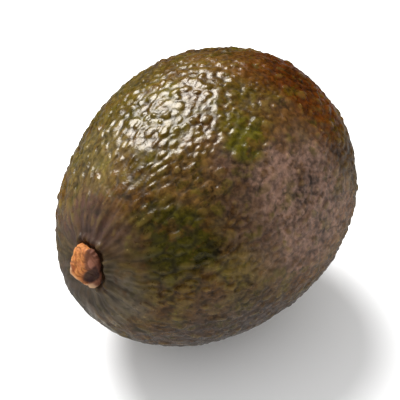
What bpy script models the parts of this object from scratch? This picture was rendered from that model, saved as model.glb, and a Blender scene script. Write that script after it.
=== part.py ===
"""A whole ripe avocado with its stem button, lying on its side.

Metres, +Z up. The origin lies on the small flat spot that the fruit rests on, straight below
the middle of its weight. The fruit's long axis runs along X, with the stem end at +X. The stem
button stands above the fruit's tip, in a dimple with a socket for its root.
"""

import math

import bmesh
import bpy
import numpy as np
from mathutils import Matrix, Vector

# Fruit
FRUIT_LENGTH = 0.089
FRUIT_WIDTH = 0.071
TAPER = 0.105  # how much the stem end is narrower, and the bottom fuller, than an ellipse
NECK_RISE = 0.0008  # how far the stem end leans towards the side that the stem is on
ROLL = math.radians(17)  # that side is turned this far from straight up, towards -Y
FLAT_DEPTH = 0.0008  # how much of the fruit the resting spot has flattened

# Stem: its place, and the dimple and the socket that it sits in
STEM_ANGLE = math.radians(19)  # from the fruit's tip, round towards its upper side
LEAN = math.radians(7)  # the stem leans out from the skin by this angle
LEAN_TOWARDS = math.radians(-143)  # which way, from +Y and round by the upper side
DIMPLE_DEPTH = 0.0017
DIMPLE_WALL = 0.0040  # how wide the dimple's sloping side is
FLOOR_MARGIN = 0.0005  # the dimple's level floor reaches this far past the button
CLEARANCE = 0.0003  # between the button and the fruit, all round

# Stem button
BUTTON_RADIUS = 0.0059
BUTTON_HEIGHT = 0.0034
BUTTON_NARROWNESS = 0.76  # its width the way it leans, over its width across that
BUTTON_CROWN = 0.0003  # how far its middle is sunk below its rim
ROOT_RADIUS = 0.0027
ROOT_LENGTH = 0.0024
SCAR_RADIUS = 0.0024  # the hollow beside its rim, where the stalk broke off
SCAR_DEPTH = 0.0013
SCAR_REACH = 0.0030
SCAR_TURN = math.radians(125)

# Mesh
SEGMENTS = 56
RINGS = 44
RING_CROWDING = 0.5  # rings lie closer together round the stem, by this share
BUTTON_SEGMENTS = 28
SCAR_SEGMENTS = 20
SCAR_RINGS = 12
MERGE_DISTANCE = 0.00001
STEEPEST_TILT = math.radians(25)
TILT_STEPS = 1001
TABLE_SIZE = 0.2


def clear_scene():
    for obj in list(bpy.data.objects):
        bpy.data.objects.remove(obj, do_unlink=True)


def new_collection(name):
    collection = bpy.data.collections.new(name)
    bpy.context.scene.collection.children.link(collection)
    return collection


def new_material(name, colour, roughness):
    material = bpy.data.materials.new(name)
    material.use_nodes = True
    shader = material.node_tree.nodes["Principled BSDF"]
    shader.inputs["Base Color"].default_value = (*colour, 1.0)
    shader.inputs["Roughness"].default_value = roughness
    shader.inputs["Metallic"].default_value = 0.0
    return material


def add_object(name, data, collection, parent=None):
    obj = bpy.data.objects.new(name, data)
    collection.objects.link(obj)
    obj.parent = parent
    return obj


def add_cutter(name, shape, collection, parent=None):
    """An object made from a bmesh, which only cuts others."""
    data = bpy.data.meshes.new(name)
    shape.to_mesh(data)
    shape.free()
    cutter = add_object(name, data, collection, parent)
    cutter.hide_render = True
    cutter.display_type = "WIRE"
    return cutter


def add_cut(obj, name, cutter):
    cut = obj.modifiers.new(name, "BOOLEAN")
    cut.operation = "DIFFERENCE"
    cut.solver = "EXACT"
    cut.object = cutter


def girth_share(cosine):
    """How wide the fruit is at this cosine of the angle from its tip, before scaling."""
    return math.sqrt(1 - cosine**2) * (1 - TAPER * cosine)


def widest_share():
    """The most that girth_share gives, which is where its slope is zero."""
    return girth_share(-2 * TAPER / (1 + math.sqrt(1 + 8 * TAPER**2)))


def skin_point(direction):
    """The point of the fruit's smooth skin for a direction on the unit sphere."""
    along, across, up = direction
    girth = FRUIT_WIDTH / 2 * (1 - TAPER * along) / widest_share()
    rise = NECK_RISE * max(0.0, along) ** 2
    return Vector((FRUIT_LENGTH / 2 * along, girth * across, girth * up + rise))


def stem_direction():
    return Vector((math.cos(STEM_ANGLE), 0, math.sin(STEM_ANGLE)))


def stem_place():
    """The stem's frame: its origin on the skin, Z out along the stem, X the way it leans."""
    step = 1e-3
    middle = stem_direction()
    upward = Vector((-math.sin(STEM_ANGLE), 0, math.cos(STEM_ANGLE)))
    here = skin_point(middle)
    across = skin_point((middle + Vector((0, step, 0))).normalized()) - here
    along = skin_point((middle + step * upward).normalized()) - here
    outward = across.cross(along).normalized()
    sideways = Vector((0, 1, 0))
    axes = Matrix((sideways, outward.cross(sideways), outward)).transposed().to_4x4()
    turn = Matrix.Rotation(LEAN_TOWARDS, 4, "Z") @ Matrix.Rotation(LEAN, 4, "Y")
    return Matrix.Translation(here) @ axes @ turn


def smooth_step(value, low, high):
    share = min(1.0, max(0.0, (value - low) / (high - low)))
    return share * share * (3 - 2 * share)


def sunk_in_dimple(point, stem):
    """The point lowered to the dimple's level floor near the stem, and left alone far from it."""
    floor_radius = BUTTON_RADIUS + FLOOR_MARGIN
    dimple_radius = floor_radius + DIMPLE_WALL
    place = stem.inverted() @ point
    if place.z < -dimple_radius:
        return point
    reach = math.hypot(place.x, place.y)
    share = smooth_step(reach, floor_radius, dimple_radius)
    place.z = min(place.z, share * (place.z + DIMPLE_DEPTH) - DIMPLE_DEPTH)
    return stem @ place


def fruit_mesh(stem):
    """A sphere with its pole at the stem, drawn out into the fruit's shape."""
    pole = Vector((0, 0, 1))
    to_stem = pole.rotation_difference(stem_direction())
    shape = bmesh.new()
    bmesh.ops.create_uvsphere(shape, u_segments=SEGMENTS, v_segments=RINGS, radius=1)
    for vertex in shape.verts:
        angle = vertex.co.angle(pole)
        crowded = angle - RING_CROWDING * math.sin(angle)
        turn = math.atan2(vertex.co.y, vertex.co.x)
        ring = math.sin(crowded)
        direction = Vector((ring * math.cos(turn), ring * math.sin(turn), math.cos(crowded)))
        vertex.co = sunk_in_dimple(skin_point(to_stem @ direction), stem)
    data = bpy.data.meshes.new("fruit")
    shape.to_mesh(data)
    shape.free()
    data.shade_smooth()
    return data


def volume_centre(data, points):
    """The middle of the volume inside a closed mesh."""
    data.calc_loop_triangles()
    corners = points[np.array([triangle.vertices for triangle in data.loop_triangles])]
    wedges = np.einsum("ij,ij->i", corners[:, 0], np.cross(corners[:, 1], corners[:, 2]))
    return (wedges[:, None] * corners.sum(axis=1)).sum(axis=0) / 4 / wedges.sum()


def resting_place(data):
    """How the fruit lies: turned by ROLL, and tilted so that its weight is as low as it gets."""
    points = np.array([vertex.co for vertex in data.vertices])
    middle = Vector(volume_centre(data, points))
    roll = Matrix.Rotation(ROLL, 4, "X")
    below = (points - np.array(middle)) @ np.array(roll.to_3x3()).T
    tilts = np.linspace(-STEEPEST_TILT, STEEPEST_TILT, TILT_STEPS)
    heights = [(below[:, 0] * math.sin(t) - below[:, 2] * math.cos(t)).max() for t in tilts]
    tilt = tilts[int(np.argmin(heights))]
    turn = Matrix.Rotation(tilt, 4, "Y") @ roll
    return Matrix.Translation((0, 0, min(heights) - FLAT_DEPTH)) @ turn @ Matrix.Translation(-middle)


def button_outline():
    """Half the outline of the button and its root, from the middle of its top to its lower tip."""
    under = CLEARANCE - DIMPLE_DEPTH
    top = under + BUTTON_HEIGHT
    tip = under - ROOT_LENGTH
    return [
        (0, top - BUTTON_CROWN),
        (0.45 * BUTTON_RADIUS, top - BUTTON_CROWN / 2),
        (0.76 * BUTTON_RADIUS, top),
        (0.92 * BUTTON_RADIUS, top - 0.2 * BUTTON_HEIGHT),
        (BUTTON_RADIUS, top - 0.5 * BUTTON_HEIGHT),
        (0.97 * BUTTON_RADIUS, top - 0.8 * BUTTON_HEIGHT),
        (0.88 * BUTTON_RADIUS, under),
        (ROOT_RADIUS, under),
        (ROOT_RADIUS, tip),
        (0, tip),
    ]


def add_button(collection, parent, stem):
    outline = button_outline()
    data = bpy.data.meshes.new("stem_button")
    edges = [(i, i + 1) for i in range(len(outline) - 1)]
    data.from_pydata([(radius, 0, height) for radius, height in outline], edges, [])
    button = add_object("stem_button", data, collection, parent)
    button.matrix_local = stem @ Matrix.Diagonal((BUTTON_NARROWNESS, 1, 1, 1))
    screw = button.modifiers.new("turn", "SCREW")
    screw.axis = "Z"
    screw.steps = BUTTON_SEGMENTS
    screw.render_steps = BUTTON_SEGMENTS
    screw.use_merge_vertices = True
    screw.merge_threshold = MERGE_DISTANCE
    screw.use_smooth_shade = True
    return button


def add_socket_cutter(collection, parent, stem):
    """Cuts the hole for the button's root into the dimple's floor."""
    radius = ROOT_RADIUS + CLEARANCE
    depth = 2 * ROOT_LENGTH
    shape = bmesh.new()
    bmesh.ops.create_cone(
        shape,
        cap_ends=True,
        segments=BUTTON_SEGMENTS,
        radius1=radius,
        radius2=radius,
        depth=depth,
        matrix=Matrix.Translation((0, 0, depth / 2 - DIMPLE_DEPTH - ROOT_LENGTH)),
    )
    cutter = add_cutter("socket_cutter", shape, collection, parent)
    cutter.matrix_local = stem
    return cutter


def add_scar_cutter(collection, parent, stem):
    """Cuts the hollow where the stalk broke off the button."""
    top = CLEARANCE - DIMPLE_DEPTH + BUTTON_HEIGHT
    shape = bmesh.new()
    bmesh.ops.create_uvsphere(
        shape, u_segments=SCAR_SEGMENTS, v_segments=SCAR_RINGS, radius=SCAR_RADIUS
    )
    cutter = add_cutter("scar_cutter", shape, collection, parent)
    beside = Matrix.Rotation(SCAR_TURN, 4, "Z") @ Matrix.Translation((SCAR_REACH, 0, 0))
    above = Matrix.Translation((0, 0, top + SCAR_RADIUS - SCAR_DEPTH))
    cutter.matrix_local = stem @ beside @ above
    return cutter


def add_table_cutter(collection):
    """Cuts off what the resting spot has flattened, below the surface that the fruit lies on."""
    shape = bmesh.new()
    bmesh.ops.create_cube(shape, size=TABLE_SIZE)
    cutter = add_cutter("table_cutter", shape, collection)
    cutter.location.z = -TABLE_SIZE / 2
    return cutter


def main():
    clear_scene()
    parts = new_collection("avocado")
    cutters = new_collection("cutters")
    stem = stem_place()
    skin = fruit_mesh(stem)
    rest = add_object("resting_place", None, parts)
    rest.matrix_world = resting_place(skin)

    fruit = add_object("fruit", skin, parts, rest)
    add_cut(fruit, "socket", add_socket_cutter(cutters, rest, stem))
    add_cut(fruit, "resting spot", add_table_cutter(cutters))
    skin.materials.append(new_material("skin", (0.062, 0.048, 0.016), 0.42))

    button = add_button(parts, rest, stem)
    add_cut(button, "stalk scar", add_scar_cutter(cutters, rest, stem))
    button.data.materials.append(new_material("dry_stem", (0.42, 0.17, 0.06), 0.75))


main()
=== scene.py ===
"""The looks of a whole ripe avocado: waxy, pebbled skin and a dry, cracked stem button.

Metres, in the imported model's frame. The skin and the button are closed meshes grown on the
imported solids, and stand for them. The fruit lies on a pale floor in soft studio light.
"""

import math

import bmesh
import bpy
import numpy as np
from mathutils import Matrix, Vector, kdtree, noise
from mathutils.bvhtree import BVHTree


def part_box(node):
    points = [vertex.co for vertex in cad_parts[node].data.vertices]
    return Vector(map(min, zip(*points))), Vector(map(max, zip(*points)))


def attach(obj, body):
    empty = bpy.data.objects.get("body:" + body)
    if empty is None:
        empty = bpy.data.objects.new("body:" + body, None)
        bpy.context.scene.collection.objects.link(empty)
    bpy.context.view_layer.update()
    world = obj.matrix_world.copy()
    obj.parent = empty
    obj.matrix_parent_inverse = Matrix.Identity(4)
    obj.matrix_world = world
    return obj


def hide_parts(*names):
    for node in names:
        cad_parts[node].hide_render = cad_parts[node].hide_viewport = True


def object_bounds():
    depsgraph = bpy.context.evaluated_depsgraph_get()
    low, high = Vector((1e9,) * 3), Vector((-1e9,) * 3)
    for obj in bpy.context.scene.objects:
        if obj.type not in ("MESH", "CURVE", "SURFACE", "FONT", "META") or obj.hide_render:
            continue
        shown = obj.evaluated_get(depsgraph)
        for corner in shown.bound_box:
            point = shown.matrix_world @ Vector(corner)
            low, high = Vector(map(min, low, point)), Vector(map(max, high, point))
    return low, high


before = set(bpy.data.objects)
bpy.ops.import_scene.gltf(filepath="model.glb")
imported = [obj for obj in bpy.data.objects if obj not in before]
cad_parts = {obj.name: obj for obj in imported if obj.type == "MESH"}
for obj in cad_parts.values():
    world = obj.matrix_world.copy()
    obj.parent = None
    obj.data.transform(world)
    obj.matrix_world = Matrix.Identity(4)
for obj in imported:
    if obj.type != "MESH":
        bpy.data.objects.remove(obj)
cad_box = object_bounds()

MM = 0.001

# Skin: its mesh
SKIN_GRID = 128  # squares along each side of the cube that it is blown up from
STEM_CROWDING = 0.2  # squares are smaller round the stem by this share
FACET_SMOOTHING = 60  # rounds
SOCKET_GAP = 0.3 * MM  # between the button's underside and the dimple's floor

# Skin: its larger shapes. A fade is the two distances from the stem that a shape comes or goes between
SWELL_HEIGHT, SWELL_SIZE = 0.34 * MM, 13 * MM
RIDGE_HEIGHT, RIDGE_SIZE = 0.30 * MM, 6.5 * MM
STREAK_HEIGHT = 0.28 * MM
STREAK_FADE = (14 * MM, 38 * MM)
STREAKS, STREAK_LENGTH = 5.5, 11 * MM  # how many fan out from the stem, for each radian
FINE_STREAKS, FINE_STREAK_LENGTH = 2.2 * STREAKS, 7 * MM
COLOUR_STREAKS, COLOUR_STREAK_LENGTH = 1.5 * STREAKS, 9 * MM
BESIDE_STEM = (6 * MM, 24 * MM)  # the fade of the stem's own greyish colours
UNDERSIDE = (12 * MM, 36 * MM)  # the skin is calm below the first height, fully pebbled above the second
UNDERSIDE_CALM = 0.4  # how much lower the calm pebbles are
SCAR_REACH = 1.7 * MM  # the blossom scar at the far end

# Skin: the collar and the crease round the button. Places and widths are shares of its outline
COLLAR_HEIGHT = 1.0 * MM
COLLAR_PLACE, COLLAR_WIDTH = 1.22, 0.24
CREASE_DEPTH = 0.4 * MM
CREASE_PLACE, CREASE_WIDTH = 0.95, 0.07

# Skin: its pebbles
PEBBLE_SEED = 11
FINE_PEBBLE = 1.15 * MM  # across the grain, beside the stem
FULL_PEBBLE = 1.85 * MM  # across the grain, from FULL_REACH on
FULL_REACH = 28 * MM
WIDTH_FADE = (6 * MM, FULL_REACH)
PEBBLE_SPREAD = (0.65, 1.45)  # of their widths
PEBBLE_HEIGHTS = (0.3, 1.0)  # as shares of the tallest
LONGEST_GRAIN = 3.2  # length over width of a pebble beside the stem
SHORTEST_GRAIN = 1.2  # and at the far end
GRAIN_FADE = (7 * MM, 45 * MM)
NEIGHBOURS = 14  # pebbles looked at round each point
NEAREST = 6  # of them that shape it
JOINED_SHARE = 0.45  # of neighbouring pebbles run into one another
JOINED_DEPTH = 0.3  # of a full furrow, between two that do
FURROW_SPAN = (-0.15, 0.95)  # its floor and its rim: 0 is where two pebbles meet, 1 a pebble's middle
FURROW_WAVES = ((0.42 * MM, 2.4 * MM), (0.20 * MM, 0.9 * MM))  # how far the furrows stray, and how often
PEBBLE_MERGING = 9  # the higher, the less a pebble takes on its neighbours' height and tone
PEBBLE_HEIGHT = 0.50 * MM
NEAR_PEBBLE_HEIGHT = 0.12 * MM  # beside the stem
MIDDLE_RISE = 0.35  # the height in the pebbles, from 0 to 1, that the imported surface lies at
PEBBLE_FADE = (7 * MM, FULL_REACH)

# Stem button: how square its side and its top are (0 is square, 1 is round)
SIDE_ROUNDNESS = 0.5
TOP_ROUNDNESS = 0.6

# Stem button: its carving
HOLLOW_DEPTH = 1.5 * MM
CRACK_DEPTH, CRACK_SPACING = 0.25 * MM, 1.5 * MM
LUMP_HEIGHT, LUMP_SIZE = 0.30 * MM, 1.6 * MM
FLANK_LUMPS = 0.15 * MM
GROOVE_DEPTH, GROOVES = 0.10 * MM, 26
CREST_OFFSET, CREST_SLANT = 1.7 * MM, 0.8  # the line that parts the top's sunny and shady sides

# Stem button: how steeply its top falls. It rises where the number is below 0
SUNNY_FALL, SHADY_FALL = -0.04, 0.24  # away from the crest
BROAD_FALL = -0.08  # on the half that looks down the fruit's sunny side
END_FALL, END_START = 0.25, -2.2 * MM  # at one end, from there on

# Stem button: spots on its top, each with its middle and its two radii in millimetres
HOLLOW_SPOT = ((-0.1, 3.2), (3.0, 1.6))
KNOT_SPOT = ((2.9, -1.0), (1.1, 1.1))
PALE_SPOT = ((-3.0, 0.9), (1.5, 1.5))
# a dark red-brown spot at the hollow's open end
DARK_SPOT = ((-3.0, 2.9), (1.5, 0.9))

# Camera and light
CAMERA_AZIMUTH = math.radians(126.3)
CAMERA_ELEVATION = math.radians(38)
CAMERA_DISTANCE = 0.60
LENS = 210
FLOOR_RADIUS = 0.32
FLOOR_GLOW = 0.08
OVERHEAD = 0.72  # the studio's brightness overhead, where 1 is that of its sides
OVERHEAD_FADE = (0.08, 0.5)  # it dims between these heights, where 0 is level and 1 straight up
KEY_DIRECTION = (-0.22, -0.58, 0.78)
KEY_STRENGTH = 5.8
KEY_SPREAD = math.radians(36)
CARD_DISTANCE = 0.42
CARD_SIZE = 0.45
CARD_RISE = 0.15  # of a card's direction, for each unit sideways
RIGHT_CARD_GLOW = 0.15
LEFT_CARD_GLOW = 0.35
LOW_SHEEN_GLOW = 0.3


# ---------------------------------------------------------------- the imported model

def mesh_points(mesh):
    flat = np.empty(3 * len(mesh.vertices), np.float32)
    mesh.vertices.foreach_get("co", flat)
    return flat.reshape(-1, 3).astype(float)


def unit(vectors):
    return vectors / np.maximum(np.linalg.norm(vectors, axis=-1, keepdims=True), 1e-12)


def smooth_step(values, low, high):
    """0 below low, 1 above high, and smooth between them."""
    share = np.clip((values - low) / (high - low), 0, 1)
    return share * share * (3 - 2 * share)


def bell(values, middle, width):
    """1 at the middle, fading to both sides over this width."""
    return np.exp(-(((values - middle) / width) ** 2))


def box_middle(node):
    low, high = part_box(node)
    return (low + high) / 2


class Stem:
    """The stem's own frame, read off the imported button.

    The origin is on its axis, level with the button's underside. Z runs out along the stem,
    and X across the button's narrow way, towards the side where the world's Y is lower.
    """

    def __init__(self):
        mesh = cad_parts["stem_button"].data
        middle = box_middle("fruit")
        tip = min(mesh.polygons, key=lambda face: (face.center - middle).length)
        self.z = -np.array(tip.normal)
        points = mesh_points(mesh)
        heights = points @ self.z
        level = 0.05 * MM
        root = heights < heights.min() + level
        axis_point = points[root].mean(axis=0)
        across = points - axis_point
        across -= np.outer(across @ self.z, self.z)
        reach = np.linalg.norm(across, axis=1)
        wider = reach > 1.2 * reach[root].max()
        underside = heights[wider].min()
        ring = across[wider & (heights < underside + level)]
        minor = np.linalg.eigh(ring.T @ ring)[1][:, 1]
        self.x = minor if minor[1] < 0 else -minor
        self.y = np.cross(self.z, self.x)
        self.origin = axis_point + (underside - heights.min()) * self.z
        self.half_x = np.abs(across @ self.x).max()
        self.half_y = np.abs(across @ self.y).max()
        self.height = heights.max() - underside

    def local(self, points):
        """Points of the world in the stem's frame."""
        return (points - self.origin) @ np.column_stack((self.x, self.y, self.z))

    def world(self, points):
        return points @ np.stack((self.x, self.y, self.z)) + self.origin

    @staticmethod
    def outline(turn):
        """The dry button's uneven outline at each angle round the stem, as a share of its plain oval."""
        corners = 0.95 + 0.07 * np.cos(4 * turn) + 0.04 * np.cos(turn - 0.3)
        chipped = bell(turn, -1.25, 0.5)
        return corners - 0.19 * chipped


# ---------------------------------------------------------------- mesh work

def noise_at(points, size, seed):
    """Smooth noise from -1 to 1 at each point, with bumps of about this size."""
    shift = Vector((seed, -seed, 2 * seed))
    return np.array([noise.noise(Vector(point) / size + shift) for point in points])


def noise_vectors(points, size):
    """Smooth noise in x, y and z. Mathutils' own vector noise is seeded by the clock, so isn't used."""
    return np.column_stack([noise_at(points, size, seed) for seed in (21, 22, 23)])


def neighbour_mean(values, edges):
    """Each point's mean over the points that its edges lead to."""
    count = len(values)
    first, second = edges[:, 0], edges[:, 1]
    degree = np.bincount(first, minlength=count) + np.bincount(second, minlength=count)
    total = np.bincount(first, values[second], count) + np.bincount(second, values[first], count)
    return total / degree


def mesh_edges(mesh):
    ends = np.empty(2 * len(mesh.edges), np.int32)
    mesh.edges.foreach_get("vertices", ends)
    return ends.reshape(-1, 2)


def move_points(mesh, points):
    mesh.vertices.foreach_set("co", points.astype(np.float32).ravel())
    mesh.update()


def mesh_normals(mesh):
    flat = np.empty(3 * len(mesh.vertices), np.float32)
    mesh.vertex_normals.foreach_get("vector", flat)
    return flat.reshape(-1, 3).astype(float)


def write_masks(mesh, masks):
    """Numbers, or places, on the mesh's points, which its material reads by name."""
    for name, values in masks.items():
        flat = values.astype(np.float32).ravel()
        if values.ndim == 1:
            mesh.attributes.new(name, "FLOAT", "POINT").data.foreach_set("value", flat)
        else:
            mesh.attributes.new(name, "FLOAT_VECTOR", "POINT").data.foreach_set("vector", flat)


def finish_piece(name, mesh, material, node):
    """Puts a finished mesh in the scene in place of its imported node."""
    mesh.shade_smooth()
    mesh.materials.append(material)
    piece = bpy.data.objects.new(name, mesh)
    bpy.context.scene.collection.objects.link(piece)
    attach(piece, "root")
    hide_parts(node)


# ---------------------------------------------------------------- the skin's shape

def ball_mesh(stem_direction):
    """A ball of nearly equal squares, blown up from a cube with one side towards the stem."""
    grid = bmesh.new()
    bmesh.ops.create_cube(grid, size=2)
    bmesh.ops.subdivide_edges(grid, edges=grid.edges, cuts=SKIN_GRID - 1, use_grid_fill=True)
    mesh = bpy.data.meshes.new("skin")
    grid.to_mesh(mesh)
    grid.free()
    ball = unit(np.tan(mesh_points(mesh) * math.pi / 4))
    angle = np.arccos(np.clip(ball[:, 2], -1, 1))
    crowded = angle - STEM_CROWDING * np.sin(angle)
    around = unit(ball * (1, 1, 0))
    ball = around * np.sin(crowded)[:, None] + np.outer(np.cos(crowded), (0, 0, 1))
    turn = Vector((0, 0, 1)).rotation_difference(Vector(stem_direction)).to_matrix()
    move_points(mesh, ball @ np.array(turn).T)
    return mesh


def fit_to_fruit(mesh, stem):
    """Brings the ball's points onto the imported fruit, and evens out its flat facets."""
    solid = bmesh.new()
    solid.from_mesh(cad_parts["fruit"].data)
    packed = BVHTree.FromBMesh(solid)
    solid.free()
    middle = box_middle("fruit")
    rays = mesh_points(mesh)
    points = np.array([packed.ray_cast(middle, Vector(ray))[0] for ray in rays])
    local = stem.local(points)
    in_socket = (local[:, 2] < -SOCKET_GAP) & (local[:, 2] > -2 * stem.height)
    in_socket &= np.hypot(local[:, 0], local[:, 1]) < stem.half_x
    local[in_socket, 2] = -SOCKET_GAP
    points[in_socket] = stem.world(local[in_socket])
    reach = np.linalg.norm(points - np.array(middle), axis=1)
    edges = mesh_edges(mesh)
    for _ in range(FACET_SMOOTHING):
        reach = neighbour_mean(reach, edges)
    move_points(mesh, np.array(middle) + rays * reach[:, None])


class Grain:
    """The skin's own directions at each point: out of it, away from the stem, and across."""

    def __init__(self, points, normals, stem):
        away = points - stem.origin
        self.distance = np.linalg.norm(away, axis=1)
        self.out = normals
        flat = away - normals * np.einsum("ij,ij->i", away, normals)[:, None]
        self.along = unit(flat)
        self.across = np.cross(normals, self.along)
        full = smooth_step(self.distance, *WIDTH_FADE)
        self.width = FINE_PEBBLE + (FULL_PEBBLE - FINE_PEBBLE) * full
        drawn = 1 - smooth_step(self.distance, *GRAIN_FADE)
        self.length_share = SHORTEST_GRAIN + (LONGEST_GRAIN - SHORTEST_GRAIN) * drawn
        local = stem.local(points)
        self.turn = np.arctan2(local[:, 1] / stem.half_y, local[:, 0] / stem.half_x)
        oval = np.hypot(local[:, 0] / stem.half_x, local[:, 1] / stem.half_y)
        self.share = oval / stem.outline(self.turn)
        self.share[local[:, 2] < -stem.height] = 9  # well away from the button, on the fruit's other side
        far_end = points[np.argmin(local[:, 2])]
        self.scar = np.linalg.norm(points - far_end, axis=1) / SCAR_REACH

    def fan(self, count, length):
        """Places drawn out along the grain: so many to each radian round the stem."""
        ring = count * np.cos(self.turn), count * np.sin(self.turn)
        return np.column_stack((*ring, self.distance / length))

    def streaks(self, count, length, seed):
        """Noise drawn out along the grain: so many streaks for each radian round the stem."""
        return noise_at(self.fan(count, length), 1, seed)


def scatter_pebbles(points, grain, random):
    """Indices and widths of pebble middles, none nearer to another than its own width."""
    chosen = np.zeros(len(points), int)
    widths = np.zeros(len(points))
    count = 0
    spread = random.uniform(*PEBBLE_SPREAD, len(points))
    for candidate in random.permutation(len(points)):
        taken = chosen[:count]
        gap = points[taken] - points[candidate]
        width = grain.width[candidate] * spread[candidate]
        along = gap @ grain.along[candidate] / grain.length_share[candidate]
        across = gap @ grain.across[candidate]
        out = gap @ grain.out[candidate]
        far = along**2 + across**2 + out**2 > (0.5 * (widths[:count] + width)) ** 2
        if far.all():
            chosen[count] = candidate
            widths[count] = width
            count += 1
    return chosen[:count], widths[:count]


def pebble_relief(points, grain):
    """Each point's height, from 0 in the furrows to 1 on the tallest pebbles, and its pebble's tone."""
    random = np.random.default_rng(PEBBLE_SEED)
    middles, widths = scatter_pebbles(points, grain, random)
    heights = random.uniform(*PEBBLE_HEIGHTS, len(middles))
    tones = random.uniform(0, 1, len(middles))
    tree = kdtree.KDTree(len(middles))
    for index, middle in enumerate(middles):
        tree.insert(points[middle], index)
    tree.balance()
    bent = points.copy()
    for stray, size in FURROW_WAVES:
        bent += stray * noise_vectors(points, size)
    near = np.array([[hit[1] for hit in tree.find_n(point, NEIGHBOURS)] for point in bent])
    own = middles[near]
    gap = bent[:, None, :] - points[own]
    along = np.einsum("ijk,ijk->ij", gap, grain.along[own]) / grain.length_share[own]
    across = np.einsum("ijk,ijk->ij", gap, grain.across[own])
    spans = np.hypot(along, across) / widths[near]
    order = np.argsort(spans, axis=1)[:, :NEAREST]
    spans = np.take_along_axis(spans, order, axis=1)
    near = np.take_along_axis(near, order, axis=1)
    first = spans[:, :1]
    pair = (tones[near[:, :1]] + tones[near[:, 1:]]) % 1
    depth = np.where(pair < JOINED_SHARE, JOINED_DEPTH, 1.0)
    walls = 1 - depth * (1 - smooth_step(spans[:, 1:] - first, *FURROW_SPAN))
    weight = np.exp(-PEBBLE_MERGING * (spans - first))
    weight /= weight.sum(axis=1, keepdims=True)
    level = (weight * heights[near]).sum(axis=1)
    tone = (weight * tones[near]).sum(axis=1)
    return walls.prod(axis=1) * level, tone


def low_side(points):
    """1 on the calmer underside, falling to 0 at half height."""
    return 1 - smooth_step(points[:, 2], *UNDERSIDE)


def skin_relief(points, grain, rise, streak):
    """How far each point moves out of the smooth fruit."""
    swell = noise_at(points, SWELL_SIZE, 3)
    ridges = 0.5 - np.minimum(np.abs(noise_at(points, RIDGE_SIZE, 5)) * 4, 1)
    grown = smooth_step(grain.distance, *PEBBLE_FADE)
    added_height = (PEBBLE_HEIGHT - NEAR_PEBBLE_HEIGHT) * grown * (1 - UNDERSIDE_CALM * low_side(points))
    near = 1 - smooth_step(grain.distance, *STREAK_FADE)
    collar = bell(grain.share, COLLAR_PLACE, COLLAR_WIDTH) * (1 + 0.4 * streak)
    crease = bell(grain.share, CREASE_PLACE, CREASE_WIDTH)
    scar_rim = 0.2 * np.exp(-((grain.scar - 1.3) ** 2) / 0.1)
    scar_pit = 0.55 * np.exp(-(grain.scar**4))
    pebbled = 1 - np.exp(-(grain.scar**2) / 3)  # not on the scar
    relief = SWELL_HEIGHT * swell + RIDGE_HEIGHT * ridges * grown
    relief += (NEAR_PEBBLE_HEIGHT + added_height) * (rise - MIDDLE_RISE) * pebbled
    relief += STREAK_HEIGHT * streak * near + COLLAR_HEIGHT * collar - CREASE_DEPTH * crease
    return relief + (scar_rim - scar_pit) * MM


def make_skin(stem, material):
    """The whole skin: smooth fruit, pebbles and streaks, and the masks that its colours need."""
    mesh = ball_mesh(unit(stem.origin - np.array(box_middle("fruit"))))
    fit_to_fruit(mesh, stem)
    points = mesh_points(mesh)
    grain = Grain(points, mesh_normals(mesh), stem)
    rise, tone = pebble_relief(points, grain)
    streak = grain.streaks(STREAKS, STREAK_LENGTH, 8)
    streak += 0.7 * grain.streaks(FINE_STREAKS, FINE_STREAK_LENGTH, 9)
    points = points + grain.out * skin_relief(points, grain, rise, streak)[:, None]
    points[:, 2] = np.maximum(points[:, 2], 0)
    move_points(mesh, points)
    beside_stem = 1 - smooth_step(grain.distance, *BESIDE_STEM)
    # where painted shade darkens the crevice round the button
    crevice_shade = 1 - smooth_step(grain.share, 0.99, 1.09)
    scar = 1 - smooth_step(grain.scar, 0.7, 1.3)
    masks = {"rise": rise, "tone": tone, "streak": streak, "beside_stem": beside_stem}
    masks |= {"crevice_shade": crevice_shade, "scar": scar, "low": low_side(points)}
    masks["fan"] = grain.fan(COLOUR_STREAKS, COLOUR_STREAK_LENGTH)
    write_masks(mesh, masks)
    finish_piece("avocado_skin", mesh, material, "fruit")


# ---------------------------------------------------------------- the stem button's shape

def spot(x, y, place, steepness=1):
    """1 in the middle of an oval spot on the button's top, fading out past its radii."""
    (middle_x, middle_y), (radius_x, radius_y) = np.array(place) * MM
    reach = ((x - middle_x) / radius_x) ** 2 + ((y - middle_y) / radius_y) ** 2
    return np.exp(-(reach**steepness))


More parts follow.
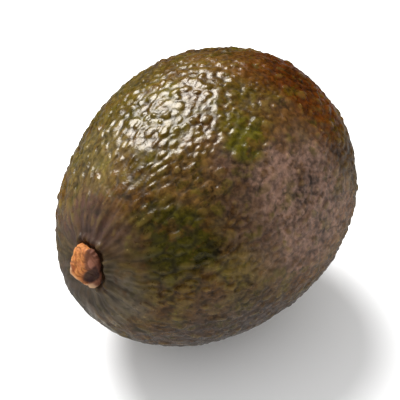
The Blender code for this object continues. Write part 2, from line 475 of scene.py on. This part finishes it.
def make_button(stem, material):
    """A rounded, uneven puck with a sloping, cracked top and the hollow where the stalk broke off."""
    puck = bmesh.new()
    bmesh.ops.create_uvsphere(puck, u_segments=128, v_segments=96, radius=1)
    mesh = bpy.data.meshes.new("dry_stem")
    puck.to_mesh(mesh)
    puck.free()
    ball = mesh_points(mesh)
    turn = np.arctan2(ball[:, 1], ball[:, 0])
    reach = np.hypot(ball[:, 0], ball[:, 1]) ** SIDE_ROUNDNESS
    level = np.sign(ball[:, 2]) * np.abs(ball[:, 2]) ** TOP_ROUNDNESS
    outline = stem.outline(turn) + 0.02 * np.cos(9 * turn) + 0.015 * np.cos(14 * turn + 1)
    x = stem.half_x * outline * reach * np.cos(turn)
    y = stem.half_y * outline * reach * np.sin(turn)
    z = stem.height * (0.5 + 0.5 * level)
    points = np.column_stack((x, y, z))
    top = smooth_step(level, -0.2, 0.9)
    flank = smooth_step(reach, 0.86, 0.97)
    hollow = spot(x, y + 0.1 * x, HOLLOW_SPOT, steepness=2)
    sideways = x - CREST_SLANT * y + CREST_OFFSET
    slope = np.where(sideways > 0, SUNNY_FALL, SHADY_FALL) * np.abs(sideways)
    slope += BROAD_FALL * np.maximum(x, 0) + END_FALL * np.maximum(END_START - y, 0)
    cracks = 1 - smooth_step(np.abs(noise_at(points * (1, 0.45, 1), CRACK_SPACING, 4)), 0.0, 0.22)
    lumps = noise_at(points, LUMP_SIZE, 6)
    points[:, 2] -= top * (slope + HOLLOW_DEPTH * hollow + CRACK_DEPTH * cracks * (1 - flank))
    points[:, 2] += top * LUMP_HEIGHT * lumps
    grooves = np.cos(GROOVES * turn + 4 * noise_at(points, 2.5 * MM, 9))
    outward = np.column_stack((np.cos(turn), np.sin(turn), 0 * turn))
    points += outward * (flank * (GROOVE_DEPTH * grooves + FLANK_LUMPS * lumps))[:, None]
    move_points(mesh, stem.world(points))
    sunny = smooth_step(sideways + 0.7 * MM * lumps, -0.8 * MM, 0.8 * MM)
    # the rims are painted as a highlight where the edge catches the light
    near_rim = smooth_step(x + 0.8 * MM * lumps, 2.6 * MM, 4.2 * MM) * smooth_step(reach, 0.6, 0.9)
    far_rim = smooth_step(x * 0.45 + y, 4.9 * MM, 5.3 * MM) * smooth_step(x, -0.6 * MM, 0.8 * MM)
    far_rim *= 0.7 + 0.6 * lumps
    pale = spot(x, y, PALE_SPOT) * (1 + 0.6 * lumps)
    masks = {"hollow": hollow * top, "flank": flank, "cracks": cracks, "sunny": sunny, "pale": pale}
    masks |= {"knot": spot(x, y, KNOT_SPOT), "dark_spot": spot(x, y, DARK_SPOT)}
    masks["rim"] = np.maximum(near_rim, far_rim)
    write_masks(mesh, masks)
    finish_piece("dry_stem_button", mesh, material, "stem_button")


# ---------------------------------------------------------------- shader helpers

class Wire:
    """A shader socket that Python's arithmetic works on. Each sum adds its Math nodes."""

    def __init__(self, nodes, socket):
        self.nodes = nodes
        self.socket = socket

    def maths(self, operation, *values):
        return self.nodes.node("ShaderNodeMath", {"operation": operation}, dict(enumerate(values)))

    def __add__(self, other):
        return self.maths("ADD", self, other)

    def __sub__(self, other):
        return self.maths("SUBTRACT", self, other)

    def __rsub__(self, other):
        return self.maths("SUBTRACT", other, self)

    def __mul__(self, other):
        return self.maths("MULTIPLY", self, other)

    __radd__ = __add__
    __rmul__ = __mul__

    def step(self, low, high):
        """0 below low, 1 above high, and smooth between them. With low above high it falls."""
        settings = {"interpolation_type": "SMOOTHSTEP"}
        return self.nodes.node("ShaderNodeMapRange", settings, {0: self, 1: low, 2: high})


class Nodes:
    """The nodes of a material or of the world, and the shader that they feed."""

    def __init__(self, owner, shader, **constants):
        owner.use_nodes = True
        self.tree = owner.node_tree
        self.shader = self.tree.nodes[shader]
        for name, value in constants.items():
            socket = name.replace("_", " ").title().replace("Ior", "IOR")
            self.shader.inputs[socket].default_value = value

    def node(self, kind, settings=None, values=None, output=0):
        """Adds a node: its settings first, then the numbers or wires of its sockets."""
        made = self.tree.nodes.new(kind)
        for name, setting in (settings or {}).items():
            setattr(made, name, setting)
        for key, value in (values or {}).items():
            if isinstance(value, Wire):
                self.tree.links.new(value.socket, made.inputs[key])
            else:
                made.inputs[key].default_value = value
        return Wire(self, made.outputs[output])

    def feed(self, socket, wire):
        self.tree.links.new(wire.socket, self.shader.inputs[socket])


class Finish(Nodes):
    """One material, with what is the same all over it set on its shader's own sockets."""

    def __init__(self, name, **constants):
        self.material = bpy.data.materials.new(name)
        super().__init__(self.material, "Principled BSDF", **constants)

    def place(self):
        return self.node("ShaderNodeTexCoord", output="Object")

    def mask(self, name):
        return self.node("ShaderNodeAttribute", {"attribute_name": name}, output="Fac")

    def stored_place(self, name):
        return self.node("ShaderNodeAttribute", {"attribute_name": name}, output="Vector")

    def noise(self, size, detail=2.0, roughness=0.5, place=None, output=0):
        values = {"Vector": place or self.place(), "Scale": 1 / size}
        values |= {"Detail": detail, "Roughness": roughness}
        return self.node("ShaderNodeTexNoise", None, values, output)

    def cells(self, size):
        """The distance from the middle of the nearest cell, in cell widths."""
        return self.node("ShaderNodeTexVoronoi", None, {"Vector": self.place(), "Scale": 1 / size})

    def mix(self, share, first, second, blend="MIX"):
        values = {0: share, 6: self.colour(first), 7: self.colour(second)}
        return self.node("ShaderNodeMix", {"data_type": "RGBA", "blend_type": blend}, values, output=2)

    def colour(self, value):
        return value if isinstance(value, Wire) else (*value, 1.0)

    def vector(self, operation, first, second=(0, 0, 0), scale=1.0):
        values = {0: first, 1: second, 3: scale}
        return self.node("ShaderNodeVectorMath", {"operation": operation}, values)

    def patch(self, place, middle, reach, core):
        """1 in the core round a middle, fading to 0 at its reach, in millimetres. The core is its share."""
        values = {0: place, 1: [value * MM for value in middle]}
        away = self.node("ShaderNodeVectorMath", {"operation": "DISTANCE"}, values, output="Value")
        return away.step(reach * MM, core * reach * MM)

    def grey(self, value):
        return self.node("ShaderNodeCombineColor", None, {0: value, 1: value, 2: value})

    def bump(self, height, distance, normal=None):
        values = {"Height": height, "Distance": distance}
        if normal is not None:
            values["Normal"] = normal
        return self.node("ShaderNodeBump", None, values)


# ---------------------------------------------------------------- finishes

# The skin's colours
OLIVE = (0.082, 0.053, 0.003)
BROWN = (0.085, 0.036, 0.005)
# partly a purple bloom, partly painted sheen
MAUVE_AND_SHEEN = (0.245, 0.142, 0.102)
PURPLE_BROWN = (0.100, 0.053, 0.036)
# partly the skin's purple-grey bloom, partly painted reflection of the floor
PURPLE_GREY_AND_REFLECTION = (0.074, 0.046, 0.033)
PLUM = (0.066, 0.027, 0.020)
RUSSET = (0.083, 0.018, 0.0005)
GREEN = (0.062, 0.052, 0.0005)
DEEP_GREEN = (0.038, 0.033, 0.0005)
TAN = (0.210, 0.140, 0.030)
TOFFEE = (0.130, 0.064, 0.014)
# partly paler olive, partly painted sheen
PALE_OLIVE_AND_SHEEN = (0.142, 0.104, 0.032)
STEM_GREY = (0.044, 0.026, 0.018)
# painted grey reflection
GREY_REFLECTION = (0.110, 0.092, 0.078)
# painted glints
FOLD_GLINT = (0.260, 0.240, 0.210)
# painted grey reflection
SIDE_GREY_REFLECTION = (0.105, 0.088, 0.064)
# painted shade, for the crevice round the button and between the underside's streaks
CREVICE_SHADE = (0.045, 0.020, 0.010)
LENTICEL = (0.30, 0.21, 0.07)
SCAR = (0.10, 0.055, 0.025)

# The dry stem's colours
WOOD = (0.36, 0.105, 0.016)
LIGHT_WOOD = (0.50, 0.19, 0.040)
WORN_WOOD = (0.30, 0.09, 0.02)
SHADY_WOOD = (0.100, 0.028, 0.012)
PALE_WOOD = (0.26, 0.10, 0.055)
DARK_WOOD = (0.035, 0.006, 0.002)
KNOT = (0.24, 0.055, 0.006)
CRACK = (0.12, 0.03, 0.008)
# painted shade
SHADED_FLANK = (0.09, 0.024, 0.008)
# painted highlight
RIM_HIGHLIGHT = (0.46, 0.28, 0.15)
# the hollow's colours: partly the broken end's own colour, partly painted shade
SHADED_HOLLOW_FLOOR = (0.04, 0.011, 0.008)
SHADED_HOLLOW_CRUMBS = (0.065, 0.028, 0.014)

FLOOR_TONES = ((0.86, 0.86, 0.86), (0.88, 0.88, 0.88))

# Where the skin's colour drifts on this fruit, and where painted reflection and sheen lie on it: the
# colour, the patch's middle and its reach in millimetres, and how much of it shows
SKIN_PATCHES = (
    # the underside: partly purple-grey bloom, partly painted reflection of the floor
    (PURPLE_GREY_AND_REFLECTION, (24, 24, 8), 34, 0.9),
    (OLIVE, (10, -24, 58), 24, 0.9),
    (BROWN, (-14, -2, 69), 14, 0.8),
    (RUSSET, (-24, 14, 62), 22, 0.95),
    (PURPLE_BROWN, (6, 30, 50), 26, 0.8),
    # the mauve patches: partly a purple bloom, partly painted sheen
    (MAUVE_AND_SHEEN, (3, 27, 57), 13, 0.6),
    (MAUVE_AND_SHEEN, (-4, 34, 43), 23, 0.5),
    (MAUVE_AND_SHEEN, (-2, 35, 42), 13, 0.6),
    (GREEN, (6, 17, 64), 9, 0.95),
    # partly paler olive, partly painted sheen beside the highlight
    (PALE_OLIVE_AND_SHEEN, (27, -16, 55), 15, 0.6),
    (TOFFEE, (24, 13, 58), 12, 0.8),
    (BROWN, (-4, 20, 63), 9, 0.7),
    (DEEP_GREEN, (33, 15, 49), 13, 0.95),
    (PLUM, (40, -8, 47), 13, 0.9),
    # painted grey reflection on the lower side, in both of these patches
    (GREY_REFLECTION, (45, -10, 24), 14, 0.7),
    (SIDE_GREY_REFLECTION, (46, 4, 34), 12, 0.75),
)
FOLD_GLINTS_MIDDLE = (40, -3, 15)  # painted glints and painted shade in streaks on the underside, in millimetres too
FOLD_GLINTS_REACH = 15


def skin_finish():
    """Thin, waxy skin: drifting colours, some of them painted reflection and sheen, streaks round the stem,
    furrows and the crevice round the button painted darker as shade, painted glints and shade in streaks on
    the underside, and fine warts.
    """
    finish = Finish("waxy_skin", roughness=0.3, ior=1.5, specular_tint=(1.0, 0.94, 0.84, 1.0))
    place = finish.place()
    names = ("rise", "tone", "streak", "beside_stem", "crevice_shade", "scar", "low")
    rise, tone, streak, beside_stem, crevice_shade, scar, low = (finish.mask(name) for name in names)
    fan = finish.stored_place("fan")
    stray = finish.vector("SUBTRACT", finish.noise(8 * MM, 3.0, output="Color"), (0.5, 0.5, 0.5))
    strayed = finish.vector("ADD", place, finish.vector("SCALE", stray, scale=14 * MM))
    colour = finish.mix(finish.noise(12 * MM, 4.0, 0.6).step(0.40, 0.62), BROWN, OLIVE)
    clouds = finish.noise(19 * MM, 3.0, place=strayed)
    colour = finish.mix(clouds.step(0.55, 0.72) * 0.7, colour, PURPLE_BROWN)
    for tint, middle, reach, share in SKIN_PATCHES:
        colour = finish.mix(finish.patch(strayed, middle, reach, 0.45) * share, colour, tint)
    flecks = finish.noise(4.5 * MM, 4.0, 0.65)
    colour = finish.mix(flecks.step(0.53, 0.64) * 0.65, colour, BROWN)
    colour = finish.mix(flecks.step(0.47, 0.36) * 0.5, colour, GREEN)
    colour = finish.mix(beside_stem * 0.5, colour, STEM_GREY)
    colour = finish.mix((beside_stem * streak).step(0.0, 0.7) * 0.16, colour, TAN)
    even = finish.noise(1.5 * MM, 3.0, 0.7)
    drawn = finish.noise(1.0, 3.0, 0.6, place=fan)
    # painted glints in streaks on the underside, with painted shade between them
    fold_glints = finish.patch(place, FOLD_GLINTS_MIDDLE, FOLD_GLINTS_REACH, 0.3)
    colour = finish.mix(drawn.step(0.50, 0.62) * fold_glints * 0.75, colour, FOLD_GLINT)
    colour = finish.mix(drawn.step(0.46, 0.36) * fold_glints * 0.7, colour, CREVICE_SHADE)
    mottle = even + (drawn * 0.7 + 0.15 - even) * beside_stem
    broad = finish.noise(6 * MM, 4.0, 0.6) + finish.noise(14 * MM, 2.0)
    # painted shade in the furrows between the pebbles
    furrow = rise.step(0.2, 0.0) * finish.noise(4 * MM).step(0.35, 0.65)
    shade = 0.55 + mottle.step(0.34, 0.66) * 0.6 + (broad - 1.0) * 1.1
    # the colour is also pulled darker towards the underside
    shade = (shade + (0.60 - shade) * low * 0.5) * (1 - furrow * 0.45)
    colour = finish.mix(1.0, colour, finish.grey(shade), "MULTIPLY")
    colour = finish.mix(rise.step(0.45, 0.95) * 0.22, colour, TAN)
    specks = finish.cells(1.7 * MM).step(0.20, 0.06) * rise.step(0.3, 0.7) * tone.step(0.5, 0.7)
    colour = finish.mix(specks * 0.5, colour, LENTICEL)
    colour = finish.mix(scar * 0.8, colour, SCAR)
    # painted shade in the crevice round the button
    colour = finish.mix(crevice_shade * 0.8, colour, CREVICE_SHADE)
    finish.feed("Base Color", colour)
    dulled = rise.step(0.3, 0.0) * 0.12 + beside_stem * 0.05
    finish.feed("Roughness", 0.20 + finish.noise(3 * MM, 3.0) * 0.12 + dulled)
    warts = finish.bump(finish.noise(1.2 * MM, 2.0, 0.55) * (1 - beside_stem * 0.75), 0.15 * MM)
    pores = finish.noise(0.5 * MM, 3.0, 0.6)
    finish.feed("Normal", finish.bump(pores, 0.05 * MM, normal=warts))
    return finish.material


def button_finish():
    """Dry, fibrous stalk, bright on its sunny side and painted darker as shade on its shady side and flank,
    with a pale rim painted as a highlight and a crumbly hollow painted dark, partly as shade.
    """
    finish = Finish("dry_stem", roughness=0.75, ior=1.45)
    names = ("hollow", "flank", "cracks", "sunny", "rim", "knot", "pale", "dark_spot")
    hollow, flank, cracks, sunny, rim, knot, pale, dark_spot = (finish.mask(name) for name in names)
    fibres = finish.noise(1.1 * MM, 4.0, 0.65)
    blotch = finish.noise(2.2 * MM, 3.0)
    colour = finish.mix(fibres.step(0.35, 0.68), WOOD, LIGHT_WOOD)
    colour = finish.mix(blotch.step(0.55, 0.7) * 0.5, colour, WORN_WOOD)
    colour = finish.mix(knot.step(0.2, 0.7) * 0.9, colour, KNOT)
    colour = finish.mix((1 - sunny) * 0.9, colour, SHADY_WOOD)
    colour = finish.mix((1 - sunny) * pale.step(0.2, 0.9) * 0.85, colour, PALE_WOOD)
    # a dark red-brown spot at the hollow's open end
    colour = finish.mix(dark_spot.step(0.1, 0.6) * 0.9, colour, DARK_WOOD)
    colour = finish.mix(cracks * 0.5, colour, CRACK)
    # painted shade on the flank's shady side
    colour = finish.mix(flank * (1 - sunny) * 0.5, colour, SHADED_FLANK)
    # painted highlight on the button's lit rim
    colour = finish.mix(rim * 0.8, colour, RIM_HIGHLIGHT)
    # the hollow is painted dark: partly the broken end's own colour, partly painted shade
    shaded_crumbs = finish.mix(blotch.step(0.4, 0.6), SHADED_HOLLOW_FLOOR, SHADED_HOLLOW_CRUMBS)
    finish.feed("Base Color", finish.mix(hollow.step(0.25, 0.75), colour, shaded_crumbs))
    finish.feed("Roughness", 0.6 + fibres * 0.3)
    grit = finish.noise(0.35 * MM, 3.0)
    finish.feed("Normal", finish.bump(fibres + grit * 0.5, 0.25 * MM))
    return finish.material


def floor_finish():
    """Plain and pale, with a faint glow that keeps it nearly white."""
    glow = {"emission_color": (1, 1, 1, 1), "emission_strength": FLOOR_GLOW}
    finish = Finish("pale_floor", roughness=0.9, **glow)
    finish.feed("Base Color", finish.mix(finish.noise(0.4), *FLOOR_TONES))
    return finish.material


# ---------------------------------------------------------------- studio

def make_floor():
    shape = bmesh.new()
    bmesh.ops.create_circle(shape, cap_ends=True, segments=96, radius=FLOOR_RADIUS)
    mesh = bpy.data.meshes.new("floor")
    shape.to_mesh(mesh)
    shape.free()
    mesh.materials.append(floor_finish())
    floor = bpy.data.objects.new("floor", mesh)
    bpy.context.scene.collection.objects.link(floor)
    floor.visible_glossy = False


def make_world():
    """A white studio round the sides and dimmer overhead. Only the lamps show in the skin's gloss."""
    world = bpy.data.worlds.new("studio")
    bpy.context.scene.world = world
    world.cycles_visibility.glossy = False
    sky = Nodes(world, "Background", color=(1, 1, 1, 1))
    way = sky.node("ShaderNodeTexCoord", output="Generated")
    height = sky.node("ShaderNodeSeparateXYZ", None, {0: way}, output="Z")
    sky.feed("Strength", 1 - height.step(*OVERHEAD_FADE) * (1 - OVERHEAD))


def add_lamp(name, kind, towards, away=1.0):
    """A lamp in this direction from the fruit, shining back at it."""
    lamp = bpy.data.objects.new(name, bpy.data.lights.new(name, kind))
    bpy.context.scene.collection.objects.link(lamp)
    lamp.visible_camera = False
    lamp.location = box_middle("fruit") + away * towards
    lamp.rotation_mode = "QUATERNION"
    lamp.rotation_quaternion = towards.to_track_quat("Z", "Y")
    return lamp


def add_card(name, glow, towards, away=CARD_DISTANCE):
    """A square lamp, whose glow is the same whatever its size."""
    card = add_lamp(name, "AREA", towards.normalized(), away)
    card.data.size = CARD_SIZE
    card.data.energy = glow * math.pi * CARD_SIZE**2
    return card


def make_lamps():
    """The key lamp, a card on each side, and a dim sheen under the fruit that only its gloss shows."""
    key = add_lamp("key", "SUN", Vector(KEY_DIRECTION).normalized())
    key.data.energy = KEY_STRENGTH
    key.data.angle = KEY_SPREAD
    side_x, side_y = math.cos(CAMERA_AZIMUTH), math.sin(CAMERA_AZIMUTH)
    add_card("right_card", RIGHT_CARD_GLOW, Vector((side_x, side_y, CARD_RISE)))
    add_card("left_card", LEFT_CARD_GLOW, Vector((-side_x, -side_y, CARD_RISE)))
    sheen = add_card("low_sheen", LOW_SHEEN_GLOW, Vector((0, 0, -1)), box_middle("fruit").z - 1 * MM)
    sheen.visible_diffuse = False


def make_camera():
    """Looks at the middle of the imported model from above, past its stem end."""
    low, high = cad_box
    back = Vector((
        math.sin(CAMERA_AZIMUTH) * math.cos(CAMERA_ELEVATION),
        -math.cos(CAMERA_AZIMUTH) * math.cos(CAMERA_ELEVATION),
        math.sin(CAMERA_ELEVATION),
    ))
    lens = bpy.data.cameras.new("camera")
    lens.lens = LENS
    camera = bpy.data.objects.new("camera", lens)
    bpy.context.scene.collection.objects.link(camera)
    camera.rotation_mode = "QUATERNION"
    camera.location = (low + high) / 2 + CAMERA_DISTANCE * back
    camera.rotation_quaternion = back.to_track_quat("Z", "Y")
    bpy.context.scene.camera = camera


def write_sizes():
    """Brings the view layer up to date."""
    bpy.context.view_layer.update()


stem = Stem()
make_skin(stem, skin_finish())
make_button(stem, button_finish())
make_floor()
make_world()
make_lamps()
make_camera()
bpy.context.scene.view_settings.view_transform = "Standard"
write_sizes()
